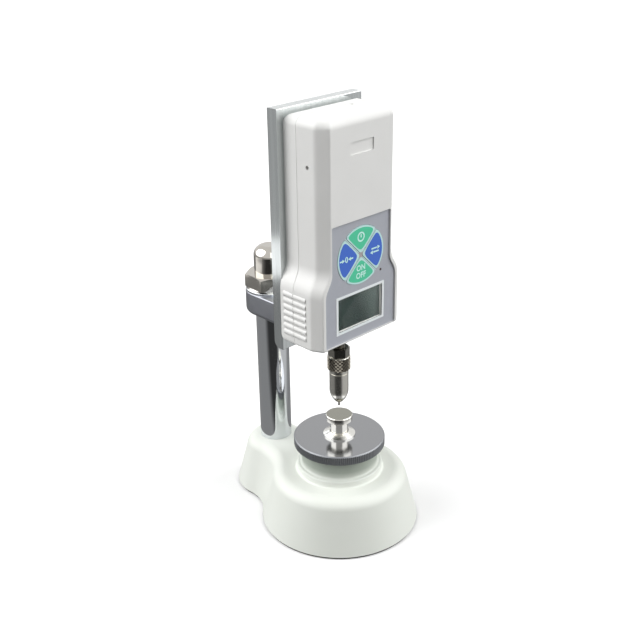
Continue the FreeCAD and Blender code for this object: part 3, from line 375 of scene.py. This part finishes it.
def probe_steel():
    """The probe: a turned barrel, a polished nose made paler by a painted reflection, and painted shade in
    the grooves of the knurled grip.
    """
    material = turned_steel("probe_steel", PROBE_STEEL, PROBE_NOSE_PAINTED_REFLECTION, side_rough=0.26, face_rough=0.12,
                            tilt=TAPERED_END)
    tree = material.node_tree
    place = add(tree, "TexCoord").outputs["Object"]
    height = add(tree, "SeparateXYZ", {}, {"Vector": place}).outputs["Z"]
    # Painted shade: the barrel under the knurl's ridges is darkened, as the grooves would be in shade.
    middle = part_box("plunger")[1].z - GRIP_EDGE - GRIP_LENGTH / 2
    grip = add(tree, "Math", {"operation": "COMPARE", 1: middle, 2: GRIP_LENGTH / 2},
               {0: height}).outputs["Value"]
    tint_part(tree, tree.nodes["Principled BSDF"], grip, GROOVE_PAINTED_SHADE)
    return material


def polished_nickel():
    """Nickel plate over a polished forging, whose soft waves bend what it mirrors."""
    material, tree, surface, place = start_material(
        "polished_nickel", {"Base Color": linear(DOME_NICKEL), "Metallic": 1.0, "Roughness": 0.1})
    waves = grain(tree, place, 11 * MM, detail=0.0)
    skin = grain(tree, place, 0.6 * MM)
    relief(tree, surface, [(waves, 0.35 * MM), (skin, 0.004 * MM)])
    return material


def plain_metal(name, colour, low, high):
    """Rolled or tumbled metal: an even tone and a fine grain, with a roughness between two values."""
    material, tree, surface, place = start_material(name, {"Base Color": linear(colour), "Metallic": 1.0})
    skin = grain(tree, place, 0.5 * MM, detail=3.0)
    vary_roughness(tree, surface, skin, low, high)
    relief(tree, surface, [(skin, 0.004 * MM)])
    return material


def plain_plastic(name, colour, low, high):
    """Moulded plastic or rubber: one colour and a fine mould grain, with a roughness between two values."""
    material, tree, surface, place = start_material(name, {"Base Color": linear(colour), "IOR": 1.5})
    skin = grain(tree, place, 0.4 * MM, detail=3.0)
    vary_roughness(tree, surface, skin, low, high)
    relief(tree, surface, [(skin, 0.006 * MM)])
    return material


def printed_film():
    """Polycarbonate panel film, printed grey on its back: a fine matt grain over an even ink."""
    material, tree, surface, place = start_material("panel_film", {"IOR": 1.58})
    clouds = grain(tree, place, 5 * MM)
    skin = grain(tree, place, 0.25 * MM)
    vary_colour(tree, surface, clouds, FILM_SHADE, FILM)
    vary_roughness(tree, surface, skin, 0.42, 0.55)
    relief(tree, surface, [(skin, 0.005 * MM)])
    return material


def display_glass():
    """The clear window over the display: polished, and coated so that it reflects little."""
    material, tree, surface, place = start_material(
        "display_glass", {"Base Color": linear(GLASS_CLEAR), "Transmission Weight": 1.0, "IOR": 1.12,
                          "Roughness": 0.02})
    waves = grain(tree, place, 9 * MM, detail=1.0)
    relief(tree, surface, [(waves, 0.01 * MM)])
    return material


def display_cell():
    """Reflective display cell, switched off: grey-green under its polariser, paler towards one corner by a
    painted reflection.
    """
    material, tree, surface, place = start_material(
        "display_cell", {"IOR": 1.5, "Roughness": 0.35, "Specular IOR Level": 0.0})
    low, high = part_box("lcd_window")
    slope = Vector((high.x - low.x, 0, high.z - low.z))
    along = add(tree, "VectorMath", {"operation": "DOT_PRODUCT", 1: slope}, {0: place}).outputs["Value"]
    ends = {"From Min": slope.dot((low + high) / 2), "From Max": slope.dot(high)}
    corner = add(tree, "MapRange", ends, {"Value": along}).outputs["Result"]
    skin = grain(tree, place, 0.3 * MM)
    # Painted reflection: the cell is paler towards its upper corner.
    vary_colour(tree, surface, corner, DISPLAY_DARK, DISPLAY_PAINTED_REFLECTION)
    relief(tree, surface, [(skin, 0.003 * MM)])
    return material


finishes = {
    "white_enamel": stove_enamel(),
    "sole_rubber": plain_plastic("sole_rubber", SOLE_BLACK, 0.6, 0.75),
    "chrome_plate": chrome_plate(),
    "grey_casting": grey_casting(),
    "turned_steel": turned_steel("turned_steel", BRIGHT_STEEL, BRIGHT_STEEL, side_rough=0.2,
                                 face_rough=0.2),
    "fastener_steel": plain_metal("fastener_steel", SCREW_STEEL, 0.25, 0.4),
    "bronze": plain_metal("bronze", BRONZE, 0.3, 0.45),
    "case_abs": moulded_abs(),
    "panel_film": printed_film(),
    "key_green": plain_plastic("key_green", KEY_GREEN, 0.4, 0.5),
    "key_blue": plain_plastic("key_blue", KEY_BLUE, 0.4, 0.5),
    "frame_white": plain_plastic("frame_white", FRAME_WHITE, 0.35, 0.45),
    "display_glass": display_glass(),
    "display_cell": display_cell(),
    "led_dark": plain_plastic("led_dark", LAMP_DARK, 0.1, 0.2),
    "board_green": plain_plastic("board_green", BOARD_GREEN, 0.35, 0.5),
    "black_plastic": plain_plastic("black_plastic", BLACK_PLASTIC, 0.4, 0.55),
    "seal_rubber": plain_plastic("seal_rubber", SEAL_BLACK, 0.55, 0.7),
    "cell_aluminium": plain_metal("cell_aluminium", ALUMINIUM, 0.3, 0.4),
    "battery_sleeve": plain_plastic("battery_sleeve", SLEEVE_BLUE, 0.25, 0.35),
    "key_rim": plain_plastic("key_rim", KEY_EDGE, 0.4, 0.5),
    "key_middle": plain_plastic("key_middle", KEY_MIDDLE, 0.4, 0.5),
    "legend_ink": plain_plastic("legend_ink", SIGN_INK, 0.4, 0.5),
    "grip_steel": plain_metal("grip_steel", GRIP_STEEL, 0.14, 0.2),
}
for node in nodes.values():
    slot = node.data.materials[0].name
    node.data.materials[0] = finishes[slot]

own_finish = {
    "mount_plate": ground_steel(),
    # The wheel's face and rim, and the anvil's top and side, differ in tone by painted reflection.
    "handwheel": turned_steel("wheel_steel", WHEEL_RIM_PAINTED_REFLECTION, WHEEL_FACE_PAINTED_REFLECTION, side_rough=0.5, face_rough=0.13,
                              pitch=0.8 * MM),
    "anvil": turned_steel("anvil_steel", ANVIL_SIDE_PAINTED_REFLECTION, ANVIL_FACE_PAINTED_REFLECTION, side_rough=0.14, face_rough=0.25),
    "plunger": probe_steel(),
    "acorn_nut": polished_nickel(),
    "lock_nut": plain_metal("nickel_nut", NUT_NICKEL, 0.12, 0.22),
    "load_rod": plain_metal("rod_steel", ROD_NICKEL, 0.2, 0.3),
}
key_colours = {"key_top": "key_green", "key_bottom": "key_green", "key_left": "key_blue",
               "key_right": "key_blue"}
for name in key_colours:
    own_finish[name] = finishes["key_rim"]
for name, material in own_finish.items():
    nodes[name].data.materials[0] = material


# Pieces added to the solids

def make_piece(name, bm, body, material, replaced=(), sharp=35):
    """Make an object of a finished shape, give it its finish and let it ride on its body.

    Edges that turn by more degrees than sharp keep a hard look."""
    bmesh.ops.recalc_face_normals(bm, faces=bm.faces)
    mesh = bpy.data.meshes.new(name)
    bm.to_mesh(mesh)
    bm.free()
    mesh.shade_smooth()
    mesh.set_sharp_from_angle(angle=math.radians(sharp))
    mesh.materials.append(material)
    piece = bpy.data.objects.new(name, mesh)
    bpy.context.scene.collection.objects.link(piece)
    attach(piece, body)
    if replaced:
        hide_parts(*replaced)
    return piece


def turn_profile(bm, profile, steps):
    """Spin an outline of radii and heights, from the axis to the axis, into a closed solid."""
    points = [bm.verts.new((radius, 0, height)) for radius, height in profile]
    lines = [bm.edges.new(pair) for pair in zip(points, points[1:])]
    bmesh.ops.spin(bm, geom=points + lines, cent=(0, 0, 0), axis=(0, 0, 1), angle=2 * math.pi,
                   steps=steps, use_merge=True)
    bmesh.ops.remove_doubles(bm, verts=bm.verts, dist=AXIS_WELD)


def helical_ridge(bm, foot, crest, width, bottom, rise, angle, start, steps):
    """A three-sided ridge that climbs round Z, with its foot at one radius and its crest at another."""
    turn = Matrix.Rotation(start, 3, "Z")
    corners = [(foot, -width / 2), (crest, 0), (foot, width / 2)]
    points = [bm.verts.new(turn @ Vector((radius, 0, bottom + height))) for radius, height in corners]
    end = bm.faces.new(points)
    bmesh.ops.spin(bm, geom=[end] + end.edges[:] + points, cent=(0, 0, 0), axis=(0, 0, 1),
                   dvec=(0, 0, rise / steps), angle=angle, steps=steps)


def threaded_rod():
    """The rod between the gauge and the probe, with a screw thread cut all along it."""
    low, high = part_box("load_rod")
    crest = high.x
    root = crest - THREAD_DEPTH
    turns = (high.z - low.z) / THREAD_PITCH - 1
    bm = bmesh.new()
    turn_profile(bm, [(0, low.z), (root, low.z), (root, high.z), (0, high.z)], ROD_STEPS)
    helical_ridge(bm, root - THREAD_SUNK, crest, THREAD_PITCH * THREAD_SHARE, low.z + THREAD_PITCH / 2,
                  turns * THREAD_PITCH, turns * 2 * math.pi, 0, round(turns * THREAD_STEPS))
    make_piece("threaded_rod", bm, "stand", own_finish["load_rod"], ["load_rod"])


def grip_knurl():
    """The crossed ridges that knurling wheels press into the probe's grip, at 45 degrees each way."""
    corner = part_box("plunger")[1]
    radius = corner.x
    bottom = corner.z - GRIP_EDGE - GRIP_LENGTH
    step = 2 * math.pi / KNURL_STARTS
    bm = bmesh.new()
    for hand in (-1, 1):
        for k in range(KNURL_STARTS):
            helical_ridge(bm, radius - KNURL_SUNK, radius + KNURL_PROUD, KNURL_SHARE * step * radius,
                          bottom, GRIP_LENGTH, hand * GRIP_LENGTH / radius, k * step, KNURL_STEPS)
    make_piece("grip_knurl", bm, "stand", finishes["grip_steel"], sharp=20)


def thicken(bm, faces, depth):
    """Give flat faces that look to the front a thickness towards the front."""
    grown = bmesh.ops.extrude_face_region(bm, geom=faces)["geom"]
    raised = [v for v in grown if isinstance(v, bmesh.types.BMVert)]
    bmesh.ops.translate(bm, verts=raised, vec=(0, -depth, 0))


def key_field(name, colour):
    """The coloured field printed on a key: its front face, drawn in from the edge all round."""
    bm = bmesh.new()
    bm.from_mesh(nodes[name].data)
    bmesh.ops.remove_doubles(bm, verts=bm.verts, dist=KEY_WELD)
    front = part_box(name)[0].y
    others = [f for f in bm.faces if abs(f.calc_center_median().y - front) > KEY_FLATNESS]
    bmesh.ops.delete(bm, geom=others, context="FACES")
    bmesh.ops.dissolve_faces(bm, faces=bm.faces[:])
    rim = bmesh.ops.inset_region(bm, faces=bm.faces[:], thickness=KEY_RIM, use_boundary=True,
                                 use_even_offset=True)["faces"]
    bmesh.ops.delete(bm, geom=rim, context="FACES")
    for edge in bm.edges[:]:
        cuts = int(edge.calc_length() / KEY_STEP)
        if cuts:
            bmesh.ops.subdivide_edges(bm, edges=[edge], cuts=cuts)
    for round_number in range(KEY_SOFTENING):
        bmesh.ops.smooth_vert(bm, verts=bm.verts, factor=0.5, use_axis_x=True, use_axis_z=True)
    thicken(bm, bm.faces[:], PRINT_PROUD)
    make_piece(name + "_print", bm, name + "_body", finishes[colour])


def letters(bm, text, middle, width=1.0):
    """Flat bold letters or figures, centred on a point; width narrows or widens them."""
    curve = bpy.data.curves.new("letters", "FONT")
    curve.offset = LETTER_WEIGHT
    curve.body = text
    curve.size = LETTER_HEIGHT / CAPITAL_SHARE
    curve.align_x = "CENTER"
    curve.align_y = "CENTER"
    curve.resolution_u = 3
    holder = bpy.data.objects.new("letters", curve)
    mesh = bpy.data.meshes.new_from_object(holder)
    before = set(bm.verts)
    bm.from_mesh(mesh)
    fresh = [v for v in bm.verts if v not in before]
    bmesh.ops.scale(bm, vec=(width, 1, 1), verts=fresh)
    bmesh.ops.translate(bm, vec=(middle[0], middle[1], 0), verts=fresh)
    bpy.data.objects.remove(holder)
    bpy.data.curves.remove(curve)
    bpy.data.meshes.remove(mesh)


def arrow_head(bm, middle, size, side):
    """A flat triangle that points along X, to the side 1 or -1."""
    place = Matrix.Translation((middle[0], middle[1], 0)) @ Matrix.Rotation(-side * math.pi / 2, 4, "Z")
    bmesh.ops.create_circle(bm, cap_ends=True, radius=size, segments=3, matrix=place)


def bar(bm, middle, width, height):
    """A flat oblong, centred on a point."""
    place = Matrix.Translation((middle[0], middle[1], 0)) @ Matrix.Diagonal((width, height, 1, 1))
    bmesh.ops.create_grid(bm, x_segments=1, y_segments=1, size=0.5, matrix=place)


def set_sign(bm):
    """A round dial with a pointer, for the settings."""
    for radius in (DIAL_RADIUS, DIAL_RADIUS - DIAL_LINE):
        bmesh.ops.create_circle(bm, cap_ends=False, radius=radius, segments=DIAL_STEPS)
    bmesh.ops.bridge_loops(bm, edges=bm.edges[:])
    bar(bm, (0, POINTER_RISE), DIAL_LINE, POINTER_LENGTH)


def zero_sign(bm):
    """Two arrows that close on a nought."""
    letters(bm, "0", (0, 0))
    for side in (-1, 1):
        arrow_head(bm, (side * CLOSING_HEAD_AT, 0), CLOSING_HEAD, -side)
        bar(bm, (side * CLOSING_SHAFT_AT, 0), CLOSING_SHAFT, SHAFT_WIDTH)


def change_sign(bm):
    """Two arrows that pass each other, for changing over."""
    for side in (-1, 1):
        arrow_head(bm, (side * PASSING_HEAD_AT, side * PASSING_RISE), PASSING_HEAD, side)
        bar(bm, (-side * PASSING_SHAFT_AT, side * PASSING_RISE), PASSING_SHAFT, SHAFT_WIDTH)


def power_sign(bm):
    """The plain words for the power key."""
    letters(bm, "ON", (0, ON_RISE), LETTER_NARROWING)
    letters(bm, "OFF", (0, -OFF_DROP), LETTER_NARROWING)


def crossed_lines(bm):
    """The four lines on the panel between the keys."""
    for quarter in range(4):
        turn = Matrix.Rotation(math.radians(45 + 90 * quarter), 4, "Z")
        first = len(bm.verts)
        bar(bm, ((CROSS_START + CROSS_REACH) / 2, 0), CROSS_REACH - CROSS_START, CROSS_WIDTH)
        bm.verts.ensure_lookup_table()
        bmesh.ops.transform(bm, matrix=turn, verts=bm.verts[first:])


def middle_square(bm):
    """The small square where the lines meet."""
    bmesh.ops.create_circle(bm, cap_ends=True, radius=CROSS_START, segments=4,
                            matrix=Matrix.Rotation(math.radians(45), 4, "Z"))


def print_flat(name, draw, right, up, front, body, ink):
    """Print what a function draws in X and Y, facing the front and placed from the middle of the keys."""
    middle = (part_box("key_left")[0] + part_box("key_right")[1]) / 2
    bm = bmesh.new()
    draw(bm)
    bm.transform(Matrix.Translation((middle.x + right, front, middle.z + up))
                 @ Matrix.Rotation(math.radians(90), 4, "X"))
    bm.normal_update()
    bmesh.ops.reverse_faces(bm, faces=[f for f in bm.faces if f.normal.y > 0])
    thicken(bm, bm.faces[:], PRINT_PROUD)
    make_piece(name, bm, body, finishes[ink])


def panel_lines():
    """The pale crossed lines on the panel, and the square in their middle."""
    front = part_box("panel_overlay")[0].y
    print_flat("panel_cross", crossed_lines, 0, 0, front, "stand", "key_rim")
    print_flat("panel_square", middle_square, 0, 0, front, "stand", "key_middle")


def key_sign(name, draw, right, up):
    """The pale sign on a key's coloured field."""
    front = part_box(name)[0].y - PRINT_PROUD
    print_flat(name + "_legend", draw, right, up, front, name + "_body", "legend_ink")


def display_pane():
    """The clear pane in the display's frame, with air between it and the cell."""
    low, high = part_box("lcd_window")
    high = Vector((high.x, low.y + GLASS_THICKNESS, high.z))
    size = high - low
    place = Matrix.Translation((low + high) / 2) @ Matrix.Diagonal((size.x, size.y, size.z, 1))
    bm = bmesh.new()
    bmesh.ops.create_cube(bm, size=1, matrix=place)
    bmesh.ops.bevel(bm, geom=bm.edges[:], offset=GLASS_EDGE, affect="EDGES", segments=2, profile=0.5,
                    material=-1)
    pane = make_piece("display_pane", bm, "stand", finishes["display_glass"],
                      ["lcd_window"])
    pane.visible_shadow = False


threaded_rod()
grip_knurl()
display_pane()
panel_lines()
for name, colour in key_colours.items():
    key_field(name, colour)
key_sign("key_top", set_sign, 0, SIGN_ABOVE)
key_sign("key_left", zero_sign, -SIGN_BESIDE, 0)
key_sign("key_right", change_sign, SIGN_BESIDE, 0)
key_sign("key_bottom", power_sign, 0, -SIGN_BELOW)


# Studio

def stage_sheet(name, height, material):
    """A flat sheet under the object, which belongs to the studio."""
    bm = bmesh.new()
    bmesh.ops.create_grid(bm, x_segments=1, y_segments=1, size=FLOOR_SIZE / 2)
    mesh = bpy.data.meshes.new(name)
    bm.to_mesh(mesh)
    bm.free()
    mesh.materials.append(material)
    sheet = bpy.data.objects.new(name, mesh)
    bpy.context.scene.collection.objects.link(sheet)
    sheet.location.z = height
    return sheet


def studio_floor():
    """A plain white floor, which keeps the soft shadow of what stands on it."""
    settings = {"Base Color": linear(FLOOR_WHITE), "Roughness": 0.9, "Specular IOR Level": 0.1}
    material = start_material("floor_white", settings)[0]
    floor = stage_sheet("studio_floor", -FLOOR_DROP, material)
    floor.visible_glossy = False
    floor.visible_diffuse = False


def outward(azimuth):
    """The level direction at an azimuth in degrees, from the front towards the left."""
    angle = math.radians(azimuth)
    return Vector((-math.sin(angle), -math.cos(angle), 0))


def cosine_to(tree, way, azimuth):
    """The cosine of the angle between a level direction and an azimuth."""
    product = add(tree, "VectorMath", {"operation": "DOT_PRODUCT", 1: outward(azimuth)}, {0: way})
    return product.outputs["Value"]


def bright_strip(tree, way, distance):
    """The level of the painted bright strip across the table: a stretch of a ring round the object."""
    ring = add(tree, "Math", {"operation": "COMPARE", 1: STRIP_DISTANCE, 2: STRIP_HALF_WIDTH},
               {0: distance})
    stretch = add(tree, "Math", {"operation": "GREATER_THAN", 1: STRIP_SPREAD},
                  {0: cosine_to(tree, way, STRIP_SIDE)})
    strip = add(tree, "Math", {"operation": "MULTIPLY"},
                {0: ring.outputs["Value"], 1: stretch.outputs["Value"]})
    bright = add(tree, "Math", {"operation": "MULTIPLY", 1: STRIP_LEVEL}, {0: strip.outputs["Value"]})
    return bright.outputs["Value"]


def table_card():
    """A glowing card under the object that only polished metal sees: painted reflections of a studio's
    table, with a bright strip across it.
    """
    material, tree = empty_material("table_card")
    place = add(tree, "TexCoord").outputs["Object"]
    way = add(tree, "VectorMath", {"operation": "NORMALIZE"}, {0: place}).outputs["Vector"]
    distance = add(tree, "VectorMath", {"operation": "LENGTH"}, {0: place}).outputs["Value"]
    pale = add(tree, "MapRange", {"From Min": PALE_START, "From Max": PALE_FULL, "To Min": TABLE_GREY,
                                  "To Max": TABLE_PALE}, {"Value": cosine_to(tree, way, PALE_SIDE)})
    near = add(tree, "MapRange", {"From Min": DARK_FULL, "From Max": DARK_GONE, "To Min": TABLE_DARK},
               {"Value": cosine_to(tree, way, DARK_SIDE), "To Max": pale.outputs["Result"]})
    far = add(tree, "MapRange", {"From Min": STRIP_DISTANCE, "From Max": STRIP_DISTANCE + STRIP_HALF_WIDTH,
                                 "To Max": TABLE_FAR}, {"Value": distance})
    table = add(tree, "Math", {"operation": "MAXIMUM"},
                {0: near.outputs["Result"], 1: far.outputs["Result"]})
    tone = add(tree, "Math", {"operation": "MAXIMUM"},
               {0: table.outputs["Value"], 1: bright_strip(tree, way, distance)})
    glow = add(tree, "Emission", {}, {"Strength": tone.outputs["Value"]})
    add(tree, "OutputMaterial", {}, {"Surface": glow.outputs["Emission"]})
    card = stage_sheet("table_card", -CARD_DROP, material)
    card.visible_camera = False
    card.visible_diffuse = False
    card.visible_shadow = False
    card.visible_transmission = False


def soft_box(name, azimuth, level):
    """A large soft box far away, which gives a white surface that faces it its level of light."""
    data = bpy.data.lights.new(name, "SUN")
    data.energy = level * math.pi
    data.angle = math.radians(BOX_SPREAD)
    lamp = bpy.data.objects.new(name, data)
    bpy.context.scene.collection.objects.link(lamp)
    lamp.rotation_euler = (math.radians(90 - BOX_ELEVATION), 0, math.radians(-azimuth))


def studio_surround():
    """White behind the object, in mirrors and through glass; softer, from above, as light."""
    world = bpy.data.worlds.new("studio")
    world.use_nodes = True
    tree = world.node_tree
    tree.nodes.clear()
    path = add(tree, "LightPath").outputs
    seen = add(tree, "Math", {"operation": "MAXIMUM"},
               {0: path["Is Camera Ray"], 1: path["Is Glossy Ray"]}).outputs["Value"]
    white = add(tree, "Math", {"operation": "MAXIMUM"},
                {0: seen, 1: path["Is Transmission Ray"]}).outputs["Value"]
    way = add(tree, "TexCoord").outputs["Generated"]
    height = add(tree, "SeparateXYZ", {}, {"Vector": way}).outputs["Z"]
    sky = add(tree, "MapRange", {"To Min": SKY_LOW, "To Max": SKY_HIGH},
              {"Value": height}).outputs["Result"]
    light = add(tree, "MapRange", {"From Min": -HORIZON, "From Max": HORIZON, "To Min": GROUND_LIGHT},
                {"Value": height, "To Max": sky}).outputs["Result"]
    strength = add(tree, "MapRange", {"To Max": 1.0}, {"Value": white, "To Min": light}).outputs["Result"]
    surround = add(tree, "Background", {"Color": (1, 1, 1, 1)}, {"Strength": strength})
    add(tree, "OutputWorld", {}, {"Surface": surround.outputs["Background"]})
    bpy.context.scene.world = world


def photo_camera():
    """The camera that took the photograph, as fitted to it."""
    data = bpy.data.cameras.new("photo_camera")
    data.sensor_width = CAMERA_SENSOR
    data.lens = CAMERA_LENS
    data.clip_start = CAMERA_NEAREST
    data.clip_end = CAMERA_FARTHEST
    camera = bpy.data.objects.new("photo_camera", data)
    bpy.context.scene.collection.objects.link(camera)
    camera.location = CAMERA_PLACE
    turn = (CAMERA_AIM - CAMERA_PLACE).to_track_quat("-Z", "Y").to_matrix()
    camera.rotation_euler = (turn @ Matrix.Rotation(math.radians(CAMERA_ROLL), 3, "Z")).to_euler()
    bpy.context.scene.camera = camera


studio_floor()
table_card()
soft_box("left_box", LEFT_BOX, LEFT_LEVEL)
soft_box("right_box", RIGHT_BOX, RIGHT_LEVEL)
studio_surround()
photo_camera()
bpy.context.scene.view_settings.view_transform = "Standard"
